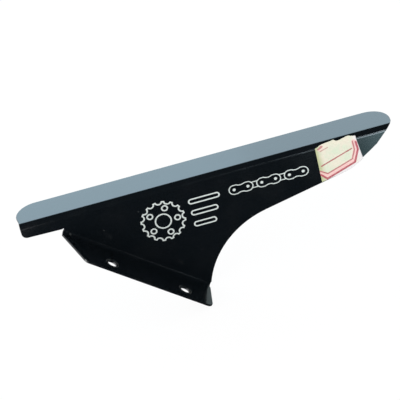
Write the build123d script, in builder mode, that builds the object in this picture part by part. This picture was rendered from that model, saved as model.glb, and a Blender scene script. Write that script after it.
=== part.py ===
from build123d import *
import math
import os

# A motorcycle chain guard: one aluminium sheet folded twice, with a paper price label on its web.
# X runs along the top fold to the rear, Y inboard towards the wheel, Z up.
# The origin is midway between the two bolt holes, on the foot's underside.
# Lengths are millimetres, angles are degrees.

# Sheet
sheet = 2.0                # thickness
bend_inner = 3.0           # inside radius of both folds
edge_break = 0.3           # chamfer that takes the burr off the cut edges
side_width = 1.5           # a face wider than this many thicknesses is a side, not a cut edge

# Top flange, which covers the chain
guard_length = 350.0       # along the top fold
front_reach = 100.0        # front end of the fold, ahead of the bolt centre
top_height = 73.0          # top face, above the bolt centre
top_width = 35.5           # from the web's outer face to the inboard edge
front_square = 1.5         # stretch of the flange's front end, next to the fold, that is square
front_skew = 10.0          # lean of the rest of the front end, off square
front_corner = 19.0        # radius of the flange's front inboard corner
rear_corner = 22.0         # radius of the flange's rear inboard corner

# Foot, which bolts down on the swingarm's sloping top
foot_slope = 39.6          # fall of the foot towards the rear
foot_ahead = 85.0          # front end of its fold, along the slope from the bolt centre
foot_behind = 66.4         # rear end of its fold, along the slope from the bolt centre
foot_depth = 39.0          # from the web's outer face to the outboard edge
foot_front_skew = 30.0     # lean of the front end, off square
foot_rear_skew = 4.2       # lean of the rear end, off square
foot_front_corner = 5.0    # radius of the front outboard corner
foot_rear_corner = 6.0     # radius of the rear outboard corner
bolt_spacing = 74.0
bolt_hole = 8.5            # diameter
bolt_to_web = 26.0         # bolt line to the web's outer face
relief = 0.6               # radius of the notch at each end of the foot's fold

# Web, as depths below the top face
tab_depth = 14.0           # square tab at the front end
tab_corner = 5.0           # radius of the tab's corner
waist_run = 66.0           # from the foot's fold to the end of the hollow curve
waist_depth = 51.1         # at the end of the hollow curve
knee_from_rear = 48.0      # where the straight lower edge turns up to the tip
knee_depth = 34.2
knee_radius = 35.0
taper_radius = 370.0       # bow of the lower edge between the knee and the tip
tip_setback = 3.5          # web's lower edge would meet the top fold, ahead of the rear end
trim_start = 3.0           # where the rear end's slanted trim starts, inboard of the fold
trim_past = 3.9            # how far ahead of that meeting the trim reaches the web
trim_slant = 1.0           # run of the trim along the web, for each unit of height

# Engraving, cut through the black finish
engrave_depth = 0.25
broad_line = 1.5           # line width of the sprocket and its speed bars
fine_line = 1.1            # line width of the run of chain
sprocket_from_front = 127.0
sprocket_depth = 34.5      # centre, below the top face
sprocket_radius = 21.0     # over the teeth
sprocket_teeth = 16
gullet_radius = 2.4
hub_radius = 8.0
window_radius = 3.3
window_circle = 13.4       # radius on which the windows stand
window_count = 5
bar_gap = 5.0              # from the sprocket's teeth to the front end of the speed bars
bar_height = 6.0
bar_spacing = 12.0         # between the middles of the bars
bar_lengths = (30.0, 26.0, 22.0)   # from the top bar down
chain_from_front = 203.0   # centre of the first link plate
chain_depth = 22.5
chain_pitch = 13.0
plate_radius = 5.2
plate_waist = 7.0          # radius of the hollow in a plate's sides
plate_waist_depth = 1.1
plate_count = 3
pin_radius = 1.5
inner_link_half = 3.0      # half height of the links between the plates

# Price label
paper = 0.15
label_front_from_rear = 73.5
label_top_from_rear = 35.0     # rear edge at the top fold
label_foot_from_rear = 30.0    # rear edge, carried down to the depth of the waist
label_margin = 0.6             # paper stops short of the web's lower edge
label_wrap = 42.0              # how far the paper goes round the top fold

# Places that follow from the sizes above
bend_outer = bend_inner + sheet
front_x = -front_reach
rear_x = front_x + guard_length
flat_top = top_height - bend_outer
bend_y = bolt_to_web + bend_outer

web_face = Plane(origin=(0, bolt_to_web, 0), x_dir=(1, 0, 0), z_dir=(0, -1, 0))
slope = math.radians(foot_slope)
foot_plane = Plane(
    origin=(0, 0, 0),
    x_dir=(math.cos(slope), 0, -math.sin(slope)),
    z_dir=(math.sin(slope), 0, math.cos(slope)),
)


def fold_point(along):
    """Point on the web, in its own plane, where the foot's bend starts."""
    point = foot_plane.from_local_coords((along, 0, sheet + bend_inner))
    return (point.X, point.Z)


def across(plane, along):
    """Plane square to a fold, at a distance along it, with Y inboard and the fold's own up."""
    return Plane(
        origin=plane.from_local_coords((along, 0, 0)),
        x_dir=plane.y_dir,
        z_dir=plane.x_dir,
    )


def quarter_bend(centre, side):
    """Section of a right-angle bend: the quarter of a ring on one side of its centre."""
    with Locations(centre):
        Circle(bend_outer)
        Circle(bend_inner, mode=Mode.SUBTRACT)
        Rectangle(bend_outer, bend_outer, align=side, mode=Mode.INTERSECT)


def is_side(face):
    """True for a side of the sheet; a cut edge is a strip as wide as the sheet is thick."""
    half_round = sum(edge.length for edge in face.edges()) / 2
    return face.area > side_width * sheet * half_round


def toothed_disc(inset):
    """Sprocket with round gullets, its edge drawn in by inset."""
    with BuildSketch() as disc:
        Circle(sprocket_radius - inset)
        with PolarLocations(sprocket_radius, sprocket_teeth):
            Circle(gullet_radius + inset, mode=Mode.SUBTRACT)
    return disc.sketch


def link_plate(inset):
    """Waisted side plate of a chain link, its edge drawn in by inset."""
    waist_y = plate_radius - plate_waist_depth + plate_waist
    with BuildSketch() as plate:
        SlotCenterToCenter(chain_pitch, 2 * (plate_radius - inset))
        with Locations((0, waist_y), (0, -waist_y)):
            Circle(plate_waist + inset, mode=Mode.SUBTRACT)
    return plate.sketch


def outline(shape, width):
    """Engraved line just inside the edge of a shape."""
    add(shape(0))
    add(shape(width), mode=Mode.SUBTRACT)


def round_line(radius):
    """Engraved circle of one line's width."""
    Circle(radius)
    Circle(radius - broad_line, mode=Mode.SUBTRACT)


def speed_bar(length):
    """Engraved outline of a round-ended bar that starts at its front end."""
    with Locations((length / 2, 0)):
        SlotOverall(length, bar_height)
        SlotOverall(length - 2 * broad_line, bar_height - 2 * broad_line, mode=Mode.SUBTRACT)


# Outline of the web's flat, between the two bends
fold_front = fold_point(-foot_ahead)
fold_rear = fold_point(foot_behind)
tab_foot = (front_x, top_height - tab_depth)
waist = (fold_rear[0] + waist_run, top_height - waist_depth)
knee = (rear_x - knee_from_rear, top_height - knee_depth)
tip = (rear_x - tip_setback, flat_top)

with BuildSketch(web_face) as web_outline:
    with BuildLine():
        Polyline(tip, (front_x, flat_top), tab_foot, fold_front, fold_rear)
        TangentArc(waist, fold_rear, tangent=(waist[0] - knee[0], waist[1] - knee[1]))
        Line(waist, knee)
        RadiusArc(tip, knee, taper_radius)
    make_face()
    fillet(web_outline.vertices().sort_by_distance(tab_foot)[0], tab_corner)
    fillet(web_outline.vertices().sort_by_distance(knee)[0], knee_radius)
    with Locations(fold_front, fold_rear):
        Circle(relief, mode=Mode.SUBTRACT)

# Outline of the foot's flat, outboard of its bend
foot_inner = bolt_to_web - bend_inner
foot_outer = bolt_to_web - foot_depth
front_lean = (foot_inner - foot_outer) * math.tan(math.radians(foot_front_skew))
rear_lean = (foot_inner - foot_outer) * math.tan(math.radians(foot_rear_skew))
foot_front_tip = (-foot_ahead + front_lean, foot_outer)
foot_rear_tip = (foot_behind - rear_lean, foot_outer)
foot_front_root = (-foot_ahead, foot_inner)
foot_rear_root = (foot_behind, foot_inner)

with BuildSketch(foot_plane) as foot_outline:
    with BuildLine():
        Polyline(foot_front_root, foot_front_tip, foot_rear_tip, foot_rear_root, close=True)
    make_face()
    fillet(foot_outline.vertices().sort_by_distance(foot_front_tip)[0], foot_front_corner)
    fillet(foot_outline.vertices().sort_by_distance(foot_rear_tip)[0], foot_rear_corner)
    with Locations(foot_front_root, foot_rear_root):
        Circle(relief, mode=Mode.SUBTRACT)
    with GridLocations(bolt_spacing, 0, 2, 1):
        Circle(bolt_hole / 2, mode=Mode.SUBTRACT)

# Outline of the top flange's flat, inboard of its bend
flange_edge = bolt_to_web + top_width
lean_start = bend_y + front_square
flange_lean = (flange_edge - lean_start) * math.tan(math.radians(front_skew))
flange_front = (front_x - flange_lean, flange_edge)
flange_rear = (rear_x, flange_edge)

with BuildSketch(Plane.XY.offset(top_height - sheet)) as flange_outline:
    with BuildLine():
        Polyline(
            (rear_x, bend_y),
            (front_x, bend_y),
            (front_x, lean_start),
            flange_front,
            flange_rear,
            close=True,
        )
    make_face()
    fillet(flange_outline.vertices().sort_by_distance(flange_front)[0], front_corner)
    fillet(flange_outline.vertices().sort_by_distance(flange_rear)[0], rear_corner)

# Slanted trim across the top fold at the rear end
trim_top = Vector(rear_x, bend_y + trim_start, top_height)
trim_foot = Vector(tip[0] - trim_past, bolt_to_web, flat_top)
trim_plane = Plane(origin=trim_top, z_dir=(trim_foot - trim_top).cross(Vector(trim_slant, 0, 1)))

# Engraved sprocket with speed bars behind it, and a run of chain
sprocket_x = front_x + sprocket_from_front
sprocket_z = top_height - sprocket_depth
bars_x = sprocket_x + sprocket_radius + bar_gap
top_bar_z = sprocket_z + bar_spacing * (len(bar_lengths) - 1) / 2
plate_places = [
    (front_x + chain_from_front + 2 * chain_pitch * link, top_height - chain_depth)
    for link in range(plate_count)
]
plate_middle = plate_radius - fine_line / 2
link_length = chain_pitch - 2 * math.sqrt(plate_middle**2 - inner_link_half**2)

with BuildSketch(web_face) as engraving:
    with Locations((sprocket_x, sprocket_z)):
        outline(toothed_disc, broad_line)
        round_line(hub_radius)
        with PolarLocations(window_circle, window_count):
            round_line(window_radius)
    for row, length in enumerate(bar_lengths):
        with Locations((bars_x, top_bar_z - bar_spacing * row)):
            speed_bar(length)
    with Locations(plate_places):
        outline(link_plate, fine_line)
        with GridLocations(chain_pitch, 0, 2, 1):
            Circle(pin_radius)
    with Locations(plate_places[:-1]):
        with Locations((chain_pitch, inner_link_half), (chain_pitch, -inner_link_half)):
            Rectangle(link_length, fine_line)

with BuildPart() as guard_sheet:
    extrude(flange_outline.sketch, amount=sheet)
    with BuildSketch(across(Plane.XY, front_x)):
        quarter_bend((bend_y, flat_top), (Align.MAX, Align.MIN))
    extrude(amount=guard_length)
    extrude(web_outline.sketch, amount=-sheet)
    split(bisect_by=trim_plane, keep=Keep.TOP)
    with BuildSketch(across(foot_plane, relief - foot_ahead)):
        quarter_bend((foot_inner, sheet + bend_inner), (Align.MIN, Align.MAX))
    extrude(amount=foot_ahead + foot_behind - 2 * relief)
    extrude(foot_outline.sketch, amount=sheet)
    sides = guard_sheet.faces().filter_by(is_side)
    cuts = guard_sheet.faces().filter_by(is_side, reverse=True)
    chamfer(sides.edges() & cuts.edges(), edge_break)
    extrude(engraving.sketch, amount=-engrave_depth, mode=Mode.SUBTRACT)

# Paper label: flat on the web, its top edge wrapped part of the way round the fold
label_front = rear_x - label_front_from_rear
label_top = rear_x - label_top_from_rear
label_foot = rear_x - label_foot_from_rear
wrap_centre = Vector(bend_y, flat_top)
wrap_foot = wrap_centre - Vector(2 * bend_outer, 0)
wrap_edge = wrap_centre - Vector(2 * bend_outer, 0).rotate(Axis.Z, -label_wrap)

with BuildSketch(web_face) as label_outline:
    with Locations((0, label_margin)):
        add(web_outline.sketch_local)
    with BuildLine():
        Polyline(
            (label_front, flat_top),
            (label_front, top_height - waist_depth),
            (label_foot, top_height - waist_depth),
            (label_top, flat_top),
            close=True,
        )
    make_face(mode=Mode.INTERSECT)

with BuildPart() as price_label:
    extrude(label_outline.sketch, amount=paper)
    with BuildSketch(across(Plane.XY, label_front)):
        with Locations(wrap_centre):
            Circle(bend_outer + paper)
            Circle(bend_outer, mode=Mode.SUBTRACT)
        with BuildLine():
            Polyline(wrap_centre, wrap_foot, wrap_edge, close=True)
        make_face(mode=Mode.INTERSECT)
    extrude(amount=label_top - label_front)

guard_sheet.part.label = "guard_sheet"
price_label.part.label = "price_label"

os.makedirs("parts", exist_ok=True)
export_step(guard_sheet.part, "parts/guard_sheet.step")
export_step(price_label.part, "parts/price_label.step")
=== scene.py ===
"""Looks of the chain guard: satin black anodising, bare metal in the engraving, a stuck-on paper label."""
import math

import bpy
from mathutils import Matrix, Vector, noise

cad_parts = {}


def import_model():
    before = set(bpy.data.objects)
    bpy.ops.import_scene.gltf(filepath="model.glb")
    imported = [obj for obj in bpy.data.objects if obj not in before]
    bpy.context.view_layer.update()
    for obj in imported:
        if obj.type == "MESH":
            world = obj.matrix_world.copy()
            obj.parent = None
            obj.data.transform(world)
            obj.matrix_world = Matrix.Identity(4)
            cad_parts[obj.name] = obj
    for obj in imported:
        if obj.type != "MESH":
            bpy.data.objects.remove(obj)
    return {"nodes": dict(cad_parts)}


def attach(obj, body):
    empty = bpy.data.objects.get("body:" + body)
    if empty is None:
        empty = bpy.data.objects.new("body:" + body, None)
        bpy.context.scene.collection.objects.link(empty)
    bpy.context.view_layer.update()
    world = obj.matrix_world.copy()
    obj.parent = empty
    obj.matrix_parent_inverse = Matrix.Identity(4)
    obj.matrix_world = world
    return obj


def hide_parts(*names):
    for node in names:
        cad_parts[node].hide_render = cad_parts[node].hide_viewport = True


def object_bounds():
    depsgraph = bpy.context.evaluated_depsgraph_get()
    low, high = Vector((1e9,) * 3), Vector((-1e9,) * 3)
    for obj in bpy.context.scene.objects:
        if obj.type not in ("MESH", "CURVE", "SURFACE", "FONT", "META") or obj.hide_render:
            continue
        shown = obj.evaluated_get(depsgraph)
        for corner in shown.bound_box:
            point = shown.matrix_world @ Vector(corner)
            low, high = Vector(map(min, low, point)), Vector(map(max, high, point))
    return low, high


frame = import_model()
cad_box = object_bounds()
scene = bpy.context.scene
MM = 0.001
NOISE_MIDDLE = 0.5

# Places on the guard, in millimetres, as its source gives them
WEB_FACE = 26.0
FLAT_TOP = 68.0
BEND_RADIUS = 5.0
SHEET = 2.0
ENGRAVING = 0.25
HOLE_PITCH = 74.0
FOOT_SLOPE = math.radians(39.6)
FOOT_RUN = Vector((math.cos(FOOT_SLOPE), 0, -math.sin(FOOT_SLOPE)))
FOOT_NORMAL = Vector((math.sin(FOOT_SLOPE), 0, math.cos(FOOT_SLOPE)))


class Graph:
    """A node tree, with short calls that add nodes and link them."""

    def __init__(self, tree):
        self.tree = tree
        tree.nodes.clear()

    def add(self, kind, inputs=None, **settings):
        node = self.tree.nodes.new(kind)
        for name, value in settings.items():
            setattr(node, name, value)
        for key, value in (inputs or {}).items():
            if isinstance(value, bpy.types.NodeSocket):
                self.tree.links.new(value, node.inputs[key])
            else:
                node.inputs[key].default_value = value
        return node

    def math(self, operation, *values):
        return self.add("ShaderNodeMath", dict(enumerate(values)), operation=operation).outputs[0]

    def vector(self, operation, output, *values):
        node = self.add("ShaderNodeVectorMath", dict(enumerate(values)), operation=operation)
        return node.outputs[output]

    def ramp(self, value, start, end, low=0.0, high=1.0):
        """Smooth step of a value from low at start to high at end."""
        inputs = {"Value": value, "From Min": start, "From Max": end, "To Min": low, "To Max": high}
        return self.add("ShaderNodeMapRange", inputs, interpolation_type="SMOOTHSTEP").outputs[0]

    def mix(self, factor, first, second):
        """Mix of two colours, which are sockets 6 and 7 of the node, and its result is socket 2."""
        inputs = {0: factor, 6: first, 7: second}
        return self.add("ShaderNodeMix", inputs, data_type="RGBA").outputs[2]

    def noise(self, place, size, detail=3.0, roughness=0.55):
        """Noise whose features are about size metres across."""
        inputs = {"Vector": place, "Scale": 1 / size, "Detail": detail, "Roughness": roughness}
        return self.add("ShaderNodeTexNoise", inputs).outputs[0]

    def finish(self, shader):
        self.add("ShaderNodeOutputMaterial", {"Surface": shader})


def new_material(name):
    material = bpy.data.materials.new(name)
    material.use_nodes = True
    return material, Graph(material.node_tree)


def dress(piece, material):
    piece.data.materials.clear()
    piece.data.materials.append(material)


# Black anodising: colours, and how the surface answers to light
ANODISED = (0.0032, 0.0048, 0.0064, 1)
ANODISED_SMUDGED = (0.0044, 0.0060, 0.0076, 1)
WORN_EDGE = (0.030, 0.033, 0.036, 1)
DUST = (0.20, 0.21, 0.20, 1)
BARE_METAL = (0.76, 0.80, 0.77, 1)
BARE_METAL_DULL = (0.62, 0.67, 0.64, 1)
ANODISED_IOR = 1.7
ENGRAVED_ROUGHNESS = 0.55
ENGRAVED_METALLIC = 0.2
WORN_ROUGHER = 0.12
GRAIN_BUMP = 0.04

# Sizes of its marks, in millimetres
GRAIN = 0.35
GRAIN_DEPTH = 0.02
SMUDGE = 26.0
EDGE_WIDTH = 0.7
WEAR_PATCH = 7.0
METAL_PATCH = 1.2
RING_RADIUS = 6.0
RING_WIDTH = 0.9
RING_PATCH = 4.0
DUST_CELL = 9.0
ENGRAVING_SLACK = 0.06

# Grain's scale along the axes, the bevel's samples, and the normal's Y under which a face looks outboard
GRAIN_STRETCH = (0.03, 1.0, 1.0)
EDGE_SAMPLES = 6
FACING_OUT = -0.98

# Dust: the largest grain as a share of its cell, the share of cells without any, and how pale it is
DUST_SIZE = 0.055
DUST_FREE = 0.72
DUST_PALENESS = 0.3

# Specks on the sheet: place and size in millimetres, and how pale each is
SPECKS = (
    ((-57.8, 25.6, 51.2), 1.6, 0.16),
    ((-33.8, 26.0, 30.4), 1.6, 0.08),
    ((-48.9, -11.8, 42.9), 1.5, 0.40),
)

# Ramps: where each starts and ends, then the values it runs between where they aren't 0 and 1
SMEAR_RAMP = (0.42, 0.72)
SATIN_RAMP = (0.3, 0.75, 0.12, 0.18)
EDGE_RAMP = (0.99, 0.86)
WEAR_RAMP = (0.48, 0.66)
RING_RAMP = (0.35, 0.60, 0.1, 0.55)


def engraving_floor(g, coords):
    """1 on the engraving's floor, which lies a little under the web's face."""
    depth = g.add("ShaderNodeSeparateXYZ", {0: coords["Object"]}).outputs["Y"]
    facing = g.add("ShaderNodeSeparateXYZ", {0: coords["Normal"]}).outputs["Y"]
    at_floor = g.math("COMPARE", depth, (WEB_FACE + ENGRAVING) * MM, ENGRAVING_SLACK * MM)
    return g.math("MULTIPLY", at_floor, g.math("LESS_THAN", facing, FACING_OUT))


def worn_edges(g, place):
    """How far edges are rubbed, in patches, where a rounded normal leaves the face's own."""
    rounded = g.add("ShaderNodeBevel", {"Radius": EDGE_WIDTH * MM}, samples=EDGE_SAMPLES).outputs[0]
    flat = g.add("ShaderNodeNewGeometry").outputs["True Normal"]
    straight = g.vector("DOT_PRODUCT", "Value", rounded, flat)
    patches = g.noise(place, WEAR_PATCH * MM, detail=4.0, roughness=0.7)
    return g.math("MULTIPLY", g.ramp(straight, *EDGE_RAMP), g.ramp(patches, *WEAR_RAMP))


def dust(g, place):
    """1 on dust, one grain in some of the cells."""
    inputs = {"Vector": place, "Scale": 1 / (DUST_CELL * MM), "Randomness": 1.0}
    cells = g.add("ShaderNodeTexVoronoi", inputs).outputs
    chosen = g.add("ShaderNodeSeparateColor", {0: cells["Color"]}).outputs
    near = g.math("LESS_THAN", cells["Distance"], g.math("MULTIPLY", chosen["Green"], DUST_SIZE))
    return g.math("MULTIPLY", near, g.math("GREATER_THAN", chosen["Red"], DUST_FREE))


def rubbed_rings(g, place):
    """How far the foot is rubbed in a ring round each hole, where a bolt's head sat."""
    rings = 0.0
    for side in (-1, 1):
        hole = FOOT_RUN * (side * HOLE_PITCH / 2) + FOOT_NORMAL * SHEET
        distance = g.vector("DISTANCE", "Value", place, hole * MM)
        off = g.math("ABSOLUTE", g.math("SUBTRACT", distance, RING_RADIUS * MM))
        rings = g.math("MAXIMUM", rings, g.ramp(off, RING_WIDTH / 2 * MM, 0.0))
    return g.math("MULTIPLY", rings, g.ramp(g.noise(place, RING_PATCH * MM), *RING_RAMP))


def pale_marks(g, place):
    """How pale the sheet is with rings, dust and specks."""
    pale = g.math("MAXIMUM", rubbed_rings(g, place), g.math("MULTIPLY", dust(g, place), DUST_PALENESS))
    for centre, size, strength in SPECKS:
        distance = g.vector("DISTANCE", "Value", place, Vector(centre) * MM)
        pale = g.math("MAXIMUM", pale, g.ramp(distance, size * MM, size / 2 * MM, 0.0, strength))
    return pale


def anodised():
    """Satin black: rolled grain, smudges, dust, rubbed edges, and bare metal on the engraving's floor."""
    material, g = new_material("black_anodised")
    coords = g.add("ShaderNodeTexCoord").outputs
    place = coords["Object"]
    engraved = engraving_floor(g, coords)
    worn = worn_edges(g, place)
    smudge = g.noise(place, SMUDGE * MM, detail=4.0, roughness=0.6)

    black = g.mix(g.ramp(smudge, *SMEAR_RAMP), ANODISED, ANODISED_SMUDGED)
    black = g.mix(worn, black, WORN_EDGE)
    black = g.mix(pale_marks(g, place), black, DUST)
    metal = g.mix(g.noise(place, METAL_PATCH * MM), BARE_METAL_DULL, BARE_METAL)

    satin = g.math("ADD", g.ramp(smudge, *SATIN_RAMP), g.math("MULTIPLY", worn, WORN_ROUGHER))
    rolled = g.vector("MULTIPLY", "Vector", place, GRAIN_STRETCH)
    grain = g.noise(rolled, GRAIN * MM, detail=2.0)
    bump = g.add("ShaderNodeBump", {"Height": grain, "Strength": GRAIN_BUMP, "Distance": GRAIN_DEPTH * MM})
    shader = g.add(
        "ShaderNodeBsdfPrincipled",
        {
            "Base Color": g.mix(engraved, black, metal),
            "Roughness": g.math("MAXIMUM", satin, g.math("MULTIPLY", engraved, ENGRAVED_ROUGHNESS)),
            "Metallic": g.math("MULTIPLY", engraved, ENGRAVED_METALLIC),
            "Normal": bump.outputs[0],
            "IOR": ANODISED_IOR,
        },
    )
    g.finish(shader.outputs[0])
    return material


# Label paper and its inks
PAPER_CREAM = (0.70, 0.65, 0.53, 1)
PAPER_GREEN = (0.61, 0.66, 0.51, 1)
# Darker, yellower paper that is painted shade along the label's front edge
PAPER_SHADE = (0.40, 0.43, 0.21, 1)
PAPER_WHITE = (0.72, 0.68, 0.68, 1)
INK_RED = (0.40, 0.065, 0.09, 1)
INK_ROSE = (0.40, 0.12, 0.12, 1)
INK_PINK = (0.80, 0.46, 0.45, 1)
PAPER_IOR = 1.45
FIBRE_BUMP = 0.25

# Where the paper changes, in millimetres along the web: painted shade at its front edge, bleached at its
# rear
SHADE_END, SHADE_FULL, SHADE_STRENGTH = 183.0, 175.6, 0.9
BLEACHED_END, BLEACHED_FULL = 209.0, 216.0

# White margin under the border, by height over a line through the origin that slopes as the border does
BORDER_SLOPE = 0.333
MARGIN_END, MARGIN_FULL = -24.4, -25.9

# Sizes in the paper and its print, in millimetres
FIBRE = 0.5
FIBRE_DEPTH = 0.05
CAST = 9.0
WOBBLE = 4.0
BLOTCH = 2.5
THIN_SPOT = 1.1
EDGE_WAVER = 3.0
INK_WAVER = 0.5
INK_BLUR = 0.15

# Printed lines, as points in millimetres on the web
LINES = {
    "outer": ((213.9, 65.8), (214.4, 57.6), (209.3, 45.6), (181.4, 36.2), (176.6, 41.6)),
    "inner": ((211.2, 67.2), (211.3, 58.6), (207.6, 49.5), (182.7, 41.3), (176.6, 45.6)),
    "middle": ((178.9, 50.4), (209.0, 60.1)),
    "corner_outer": ((179.2, 68.2), (183.0, 70.0)),
    "corner_inner": ((180.7, 65.6), (188.0, 67.7)),
}

# Lines of each ink, with their width in millimetres and their strength
RED_LINES = (("outer", 1.9, 1.0), ("corner_outer", 1.8, 0.75))
ROSE_LINES = (("inner", 1.3, 0.9), ("middle", 1.35, 1.0), ("corner_inner", 1.1, 0.6))

# Pink bands: the two lines of each, the sum of distances to them where it ends and is full, its strength
PINK_BANDS = (("outer", "inner", 5.6, 4.6, 1.0), ("corner_outer", "corner_inner", 4.4, 2.6, 0.6))

# Ramps, as for the anodising
CAST_RAMP = (0.38, 0.66)
BLOTCH_RAMP = (0.25, 0.6, 0.55, 0.9)
THIN_RAMP = (0.25, 0.55, 0.7, 1.0)
FIBRE_RAMP = (0.3, 0.7, 0.62, 0.78)


def segment_group():
    """Node group: distance in metres from a point to a segment, all in the web's plane."""
    tree = bpy.data.node_groups.new("segment_distance", "ShaderNodeTree")
    for name in ("Point", "Start", "Span"):
        tree.interface.new_socket(name, in_out="INPUT", socket_type="NodeSocketVector")
    tree.interface.new_socket("Distance", in_out="OUTPUT", socket_type="NodeSocketFloat")
    g = Graph(tree)
    inputs = g.add("NodeGroupInput").outputs
    away = g.vector("SUBTRACT", "Vector", inputs["Point"], inputs["Start"])
    along = g.vector("DOT_PRODUCT", "Value", away, inputs["Span"])
    length = g.vector("DOT_PRODUCT", "Value", inputs["Span"], inputs["Span"])
    share = g.add("ShaderNodeClamp", {0: g.math("DIVIDE", along, length)}).outputs[0]
    scaled = g.add("ShaderNodeVectorMath", {0: inputs["Span"], "Scale": share}, operation="SCALE")
    off = g.vector("SUBTRACT", "Vector", away, scaled.outputs["Vector"])
    g.add("NodeGroupOutput", {0: g.vector("LENGTH", "Value", off)})
    return tree


def line_distance(g, segment, point, corners):
    """Distance in metres from a point to a line through corners."""
    nearest = None
    for (x0, z0), (x1, z1) in zip(corners, corners[1:]):
        start = (x0 * MM, 0, z0 * MM)
        span = ((x1 - x0) * MM, 0, (z1 - z0) * MM)
        inputs = {"Point": point, "Start": start, "Span": span}
        distance = g.add("ShaderNodeGroup", inputs, node_tree=segment).outputs[0]
        nearest = distance if nearest is None else g.math("MINIMUM", nearest, distance)
    return nearest


def paper_colour(g, place, axes, wobble):
    """Cream paper with a green cast, with painted shade darkening it at the front, whiter at the rear and
    under the border.
    """
    across = g.math("ADD", axes["X"], g.math("MULTIPLY", wobble, EDGE_WAVER * MM))
    # Painted shade: the paper darkens towards the label's front edge
    painted_shade = g.ramp(across, SHADE_END * MM, SHADE_FULL * MM, 0.0, SHADE_STRENGTH)
    bleached = g.ramp(across, BLEACHED_END * MM, BLEACHED_FULL * MM)
    over = g.math("SUBTRACT", axes["Z"], g.math("MULTIPLY", axes["X"], BORDER_SLOPE))
    margin = g.ramp(over, MARGIN_END * MM, MARGIN_FULL * MM)
    cast = g.ramp(g.noise(place, CAST * MM), *CAST_RAMP)
    paper = g.mix(cast, PAPER_CREAM, PAPER_GREEN)
    paper = g.mix(g.math("MAXIMUM", bleached, margin), paper, PAPER_WHITE)
    return g.mix(painted_shade, paper, PAPER_SHADE)


def pink_cover(g, place, away):
    """How much pink lies between the lines of each band, blotched."""
    cover = 0.0
    for first, second, end, full, strength in PINK_BANDS:
        both = g.math("ADD", away[first], away[second])
        cover = g.math("MAXIMUM", cover, g.ramp(both, end * MM, full * MM, 0.0, strength))
    blotches = g.noise(place, BLOTCH * MM, detail=4.0)
    return g.math("MULTIPLY", cover, g.ramp(blotches, *BLOTCH_RAMP))


def line_cover(g, away, uneven, lines):
    """How much ink the lines of one colour lay down, with edges that waver and blur a little."""
    cover = 0.0
    for name, width, strength in lines:
        distance = g.math("ADD", away[name], uneven)
        outside = (width / 2 + INK_BLUR) * MM
        inside = (width / 2 - INK_BLUR) * MM
        cover = g.math("MAXIMUM", cover, g.ramp(distance, outside, inside, 0.0, strength))
    return cover


def label_paper():
    """Thin aged paper with a red border, a pink band and a rule printed on it."""
    material, g = new_material("label_paper")
    place = g.add("ShaderNodeTexCoord").outputs["Object"]
    axes = g.add("ShaderNodeSeparateXYZ", {0: place}).outputs
    flat = g.add("ShaderNodeCombineXYZ", {"X": axes["X"], "Z": axes["Z"]}).outputs[0]
    wobble = g.math("SUBTRACT", g.noise(place, WOBBLE * MM), NOISE_MIDDLE)
    uneven = g.math("MULTIPLY", wobble, INK_WAVER * MM)
    segment = segment_group()
    away = {name: line_distance(g, segment, flat, corners) for name, corners in LINES.items()}

    thin = g.ramp(g.noise(place, THIN_SPOT * MM), *THIN_RAMP)
    colour = g.mix(pink_cover(g, place, away), paper_colour(g, place, axes, wobble), INK_PINK)
    for lines, ink in ((ROSE_LINES, INK_ROSE), (RED_LINES, INK_RED)):
        cover = g.math("MULTIPLY", line_cover(g, away, uneven, lines), thin)
        colour = g.mix(cover, colour, ink)

    fibre = g.noise(place, FIBRE * MM, detail=4.0, roughness=0.7)
    bump = g.add("ShaderNodeBump", {"Height": fibre, "Strength": FIBRE_BUMP, "Distance": FIBRE_DEPTH * MM})
    shader = g.add(
        "ShaderNodeBsdfPrincipled",
        {
            "Base Color": colour,
            "Roughness": g.ramp(fibre, *FIBRE_RAMP),
            "Normal": bump.outputs[0],
            "IOR": PAPER_IOR,
        },
    )
    g.finish(shader.outputs[0])
    return material


# Label's outline in millimetres, where the slant is what the rear edge gains for each one down
LABEL_FRONT_TOP = 176.6
LABEL_FRONT_FOOT = 175.8
LABEL_REAR_TOP = 215.0
LABEL_REAR_SLANT = 5.0 / 46.2
PAPER = 0.15
GLUE = 0.02
BEND_CLEAR = 1.0
LABEL_COLUMNS = 64
FLAT_ROWS = 44
BEND_ROWS = 14

# Torn edge: places along the web, and the degrees that the paper reaches round the fold there
TORN_EDGE = (
    (176.0, 14), (182.4, 42), (190.0, 51), (194.5, 58),
    (197.0, 39), (200.4, 41), (207.7, 60), (215.0, 38),
)

# How the paper strays: the tear in degrees, ripple, lift and curl in millimetres, waves to a millimetre
TEAR, TEAR_WAVES, TEAR_SLICE = 5, 0.9, 3.1
RIPPLE, RIPPLE_WAVES, RIPPLE_SLICE = 0.05, 0.16, 7.7
LIFT, LIFT_WAVES, LIFT_POWER = 0.28, 0.3, 14
CURL, CURL_START = 0.22, 0.9


def between(points, x):
    """Height at x of a line through points that run front to rear."""
    if x <= points[0][0]:
        return points[0][1]
    for (x0, y0), (x1, y1) in zip(points, points[1:]):
        if x <= x1:
            return y0 + (y1 - y0) * (x - x0) / (x1 - x0)
    return points[-1][1]


def label_foot():
    """The label's lower edge, front to rear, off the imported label's own corners."""
    corners = {
        (round(v.co.x / MM, 3), round(v.co.z / MM, 3))
        for v in frame["nodes"]["price_label"].data.vertices
        if v.co.z < (FLAT_TOP - BEND_CLEAR) * MM
    }
    return sorted(corners)


def stray(x, z, across, row):
    """How far the paper stands off the metal: rippled, lifted along the tear, curled at its rear edge."""
    ripple = RIPPLE * (1 + noise.noise(Vector((x * RIPPLE_WAVES, z * RIPPLE_WAVES, RIPPLE_SLICE))))
    near_tear = (row / (FLAT_ROWS + BEND_ROWS)) ** LIFT_POWER
    lift = LIFT * near_tear * (1 + noise.noise(Vector((x * LIFT_WAVES, 0, 0))))
    near_rear = max(0, (across - CURL_START) / (1 - CURL_START))
    curl = CURL * near_rear ** 2 * min(row / FLAT_ROWS, 1)
    return ripple + lift + curl


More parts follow.
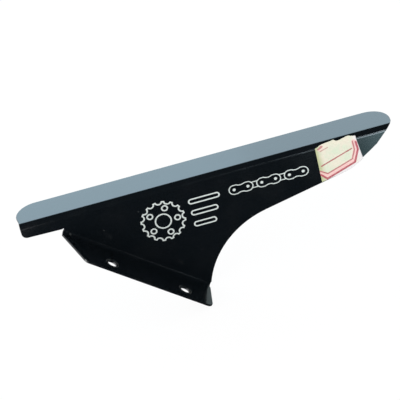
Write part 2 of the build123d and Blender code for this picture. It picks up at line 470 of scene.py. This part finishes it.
def label_point(across, row, foot):
    """Point of the label's outer face, in millimetres. Across runs from 0 at the front to 1 at the rear."""
    x = LABEL_FRONT_TOP + across * (LABEL_REAR_TOP - LABEL_FRONT_TOP)
    low = between(foot, x)
    z = low + min(row / FLAT_ROWS, 1) * (FLAT_TOP - low)
    front_slant = (LABEL_FRONT_FOOT - LABEL_FRONT_TOP) / (FLAT_TOP - foot[0][1])
    x += (FLAT_TOP - z) * ((1 - across) * front_slant + across * LABEL_REAR_SLANT)
    torn = between(TORN_EDGE, x) + TEAR * noise.noise(Vector((x * TEAR_WAVES, TEAR_SLICE, 0)))
    turn = math.radians(torn) * max(row - FLAT_ROWS, 0) / BEND_ROWS
    out = Vector((0, -math.cos(turn), math.sin(turn)))
    reach = BEND_RADIUS + PAPER + GLUE + stray(x, z, across, row)
    return Vector((x, WEB_FACE + BEND_RADIUS, z)) + out * reach


def price_label():
    """Paper label: flat on the web, wrapped part of the way round the top fold, with a torn upper edge."""
    foot = label_foot()
    rows = FLAT_ROWS + BEND_ROWS + 1
    points = [
        label_point(column / LABEL_COLUMNS, row, foot) * MM
        for column in range(LABEL_COLUMNS + 1)
        for row in range(rows)
    ]
    starts = [column * rows + row for column in range(LABEL_COLUMNS) for row in range(rows - 1)]
    faces = [(start, start + rows, start + rows + 1, start + 1) for start in starts]
    mesh = bpy.data.meshes.new("label_sheet")
    mesh.from_pydata(points, [], faces)
    mesh.shade_smooth()
    label = bpy.data.objects.new("label_sheet", mesh)
    scene.collection.objects.link(label)
    thicken = label.modifiers.new("paper", "SOLIDIFY")
    thicken.thickness = PAPER * MM
    thicken.offset = -1
    dress(label, label_paper())
    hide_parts("price_label")
    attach(label, "root")


# Stage, in metres
FLOOR_SIZE = 12.0
FLOOR_WHITE = (0.85, 0.85, 0.85, 1)
FLOOR_SHADOW = 0.06
ROOM_WHITE = (1, 1, 1, 1)
ROOM_LIGHT = 1.05
ROOM_SEEN = 1.0


def seen_directly(g):
    """1 for camera, mirror and glass rays, which are shown the white studio."""
    path = g.add("ShaderNodeLightPath").outputs
    seen = g.math("MAXIMUM", path["Is Camera Ray"], path["Is Glossy Ray"])
    return g.math("MAXIMUM", seen, path["Is Transmission Ray"])


def lying(x0, x1, y0, y1, z):
    return [(x0, y0, z), (x1, y0, z), (x1, y1, z), (x0, y1, z)]


def standing(x0, x1, y, z0, z1):
    return [(x0, y, z0), (x1, y, z0), (x1, y, z1), (x0, y, z1)]


def plane(name, corners):
    mesh = bpy.data.meshes.new(name)
    mesh.from_pydata(corners, [], [tuple(range(len(corners)))])
    piece = bpy.data.objects.new(name, mesh)
    scene.collection.objects.link(piece)
    return piece


def floor():
    """White floor that keeps part of the shadow and can be looked through from below."""
    half = FLOOR_SIZE / 2
    piece = plane("floor", lying(-half, half, -half, half, cad_box[0][2]))
    material, g = new_material("white_floor")
    lit = g.add("ShaderNodeBsdfDiffuse", {"Color": FLOOR_WHITE}).outputs[0]
    white = g.add("ShaderNodeEmission", {"Strength": ROOM_SEEN}).outputs[0]
    share = g.math("MULTIPLY", seen_directly(g), 1 - FLOOR_SHADOW)
    top = g.add("ShaderNodeMixShader", {0: share, 1: lit, 2: white}).outputs[0]
    clear = g.add("ShaderNodeBsdfTransparent").outputs[0]
    under = g.add("ShaderNodeNewGeometry").outputs["Backfacing"]
    g.finish(g.add("ShaderNodeMixShader", {0: under, 1: top, 2: clear}).outputs[0])
    material.cycles.emission_sampling = "NONE"
    dress(piece, material)


def world():
    """White room, seen as white and lighting the guard evenly from all round."""
    room = bpy.data.worlds.new("white_room")
    room.use_nodes = True
    scene.world = room
    g = Graph(room.node_tree)
    strength = g.ramp(seen_directly(g), 0.0, 1.0, ROOM_LIGHT, ROOM_SEEN)
    background = g.add("ShaderNodeBackground", {"Color": ROOM_WHITE, "Strength": strength})
    g.add("ShaderNodeOutputWorld", {"Surface": background.outputs[0]})
    room.cycles.sampling_method = "NONE"


# Black cards: the floor's reach at the guard, where its apron widens, and the sides of a half-open room
CARD_BLACK = (0.006, 0.008, 0.010, 1)
CARD_LIFT = 1 * MM
CARD_NEAR, CARD_FRONT, CARD_REAR = 0.024, -0.128, 0.208
APRON_REAR, APRON_FRONT = -0.62, -0.80
WALL, SIDE, ROOF = -3.0, 1.5, 1.6
ROOF_END, SIDE_END = 1.4, 0.75

# Grey card far behind the foot, and a black flag by the foot's rear end, in the web's own plane
CARD_GREY = (0.36, 0.44, 0.45, 1)
BACK, BACK_FRONT, BACK_REAR, BACK_TOP = 1.9, 0.5, 2.4, 0.5
FLAG_FRONT, FLAG_REAR, FLAG_TOP = 0.050, 0.085, 0.02
FLAG_FRONT_FOOT, FLAG_REAR_FOOT = -0.0396, -0.0215

# Glowing cards: reach, radiance, and fades as an axis with the places where it is dark and bright
CARD_TEAL = (0.60, 1.0, 1.08, 1)
CARD_COOL = (0.78, 0.95, 1.04, 1)
GLOW_LIFT = 2 * MM
GLOW_EDGE = -0.20
TIP_FRONT, TIP_REAR, TIP_RADIANCE = 0.19, 0.42, 1.45
TIP_FADES = (("X", 0.190, 0.270),)
LINE_FRONT, LINE_REAR, LINE_END, LINE_RADIANCE = 0.18, 0.36, -0.50, 13.0
LINE_FADES = (("X", 0.185, 0.285), ("Y", GLOW_EDGE, -0.23), ("Y", LINE_END, -0.45))
FAR_FRONT, FAR_REAR, FAR_TOP = 0.36, 0.60, 0.62
FAR_FADES = (("X", FAR_FRONT, 0.54), ("Z", FAR_TOP, 0.45))
FAR_OFF_WALL = 10 * MM


def card(name, corners, sampling="NONE"):
    """Card that only reflections see, as a photographer sets up round a dark gloss."""
    piece = plane(name, corners)
    piece.visible_camera = False
    piece.visible_diffuse = False
    piece.visible_transmission = False
    piece.visible_shadow = False
    material, g = new_material(name)
    material.cycles.emission_sampling = sampling
    dress(piece, material)
    return g


def flat_card(name, corners, colour):
    g = card(name, corners)
    g.finish(g.add("ShaderNodeEmission", {"Color": colour}).outputs[0])


def black_room():
    """Black floor, wall, roof and side before the web, the grey card and the flag."""
    low = cad_box[0][2] + CARD_LIFT
    reach = (
        (CARD_FRONT, CARD_NEAR), (CARD_FRONT, APRON_FRONT), (-SIDE, APRON_FRONT), (-SIDE, WALL),
        (SIDE, WALL), (SIDE, APRON_REAR), (CARD_REAR, APRON_REAR), (CARD_REAR, CARD_NEAR),
    )
    flat_card("card_floor", [(x, y, low) for x, y in reach], CARD_BLACK)
    flat_card("card_wall", standing(-SIDE, SIDE, WALL, low, ROOF), CARD_BLACK)
    flat_card("card_roof", lying(-SIDE, SIDE, WALL, ROOF_END, ROOF), CARD_BLACK)
    side = [(SIDE, WALL, low), (SIDE, SIDE_END, low), (SIDE, SIDE_END, ROOF), (SIDE, WALL, ROOF)]
    flat_card("card_side", side, CARD_BLACK)
    flat_card("card_back", standing(BACK_FRONT, BACK_REAR, BACK, low, BACK_TOP), CARD_GREY)
    flag = (
        (FLAG_FRONT, FLAG_FRONT_FOOT), (FLAG_REAR, FLAG_REAR_FOOT),
        (FLAG_REAR, FLAG_TOP), (FLAG_FRONT, FLAG_TOP),
    )
    inside_web = (WEB_FACE + SHEET / 2) * MM
    flat_card("card_flag", [(x, inside_web, z) for x, z in flag], CARD_BLACK)


def glow_card(name, corners, fades, colour, radiance):
    """Cool card whose light fades in along axes, each from one place to another."""
    g = card(name, corners, "FRONT_BACK")
    axes = g.add("ShaderNodeSeparateXYZ", {0: g.add("ShaderNodeTexCoord").outputs["Object"]}).outputs
    strength = radiance
    for axis, dark, bright in fades:
        strength = g.math("MULTIPLY", g.ramp(axes[axis], dark, bright), strength)
    g.finish(g.add("ShaderNodeEmission", {"Color": colour, "Strength": strength}).outputs[0])


def glow():
    """Light on the floor and far wall to the right, which the web's tip and the bend above it mirror."""
    above = cad_box[0][2] + GLOW_LIFT
    tip = lying(TIP_FRONT, TIP_REAR, GLOW_EDGE, CARD_NEAR, above)
    glow_card("card_tip", tip, TIP_FADES, CARD_TEAL, TIP_RADIANCE)
    line = lying(LINE_FRONT, LINE_REAR, LINE_END, GLOW_EDGE, above)
    glow_card("card_line", line, LINE_FADES, CARD_COOL, LINE_RADIANCE)
    far = standing(FAR_FRONT, FAR_REAR, WALL + FAR_OFF_WALL, above, FAR_TOP)
    glow_card("card_far", far, FAR_FADES, CARD_COOL, LINE_RADIANCE)


# Lamps: a cool bank behind, a little stronger to the left, and two white ones at the left front
MIDDLE = (0.07, 0.026, 0.03)
COOL = (0.47, 0.80, 1.0)
WHITE = (1.0, 1.0, 1.0)

# For each lamp its place, what it aims at, its width, height, radiance and colour
LAMPS = {
    "lamp_back": ((0.0, 1.35, 0.85), (0.0, 0.026, 0.03), 2.0, 1.0, 1.82, COOL),
    "lamp_back_left": ((-0.86, 1.34, 0.844), (-0.86, 0.016, 0.024), 2.0, 1.0, 0.35, COOL),
    "lamp_left": ((-1.25, -0.55, 0.45), MIDDLE, 1.6, 0.9, 1.6, WHITE),
    "lamp_key": ((-0.95, -1.2, 1.0), MIDDLE, 0.5, 0.5, 8.0, WHITE),
}


def softbox(name, place, aim, width, height, radiance, colour):
    data = bpy.data.lights.new(name, "AREA")
    data.shape = "RECTANGLE"
    data.size = width
    data.size_y = height
    data.energy = radiance * math.pi * width * height
    data.color = colour
    lamp = bpy.data.objects.new(name, data)
    lamp.location = place
    lamp.rotation_euler = (Vector(aim) - Vector(place)).to_track_quat("-Z", "Y").to_euler()
    lamp.visible_camera = False
    scene.collection.objects.link(lamp)


# Camera, as it stood for the photograph
LOOK_AT = Vector((64.2, 26.0, 49.8)) * MM
CAMERA_DISTANCE = 2.5
CAMERA_RISE = math.radians(30)
CAMERA_ROLL = math.radians(15.3)
PICTURE = 400
FOCAL_PIXELS = 2753.57
SENSOR = 36.0


def camera():
    back = Vector((0, -math.cos(CAMERA_RISE), math.sin(CAMERA_RISE)))
    level = Vector((1, 0, 0))
    upright = back.cross(level)
    right = level * math.cos(CAMERA_ROLL) - upright * math.sin(CAMERA_ROLL)
    up = level * math.sin(CAMERA_ROLL) + upright * math.cos(CAMERA_ROLL)
    data = bpy.data.cameras.new("camera")
    data.sensor_width = SENSOR
    data.lens = SENSOR * FOCAL_PIXELS / PICTURE
    piece = bpy.data.objects.new("camera", data)
    turn = Matrix((right, up, back)).transposed().to_4x4()
    piece.matrix_world = Matrix.Translation(LOOK_AT + back * CAMERA_DISTANCE) @ turn
    scene.collection.objects.link(piece)
    scene.camera = piece


dress(frame["nodes"]["guard_sheet"], anodised())
price_label()
floor()
world()
black_room()
glow()
for lamp_name, settings in LAMPS.items():
    softbox(lamp_name, *settings)
camera()
scene.view_settings.view_transform = "Standard"
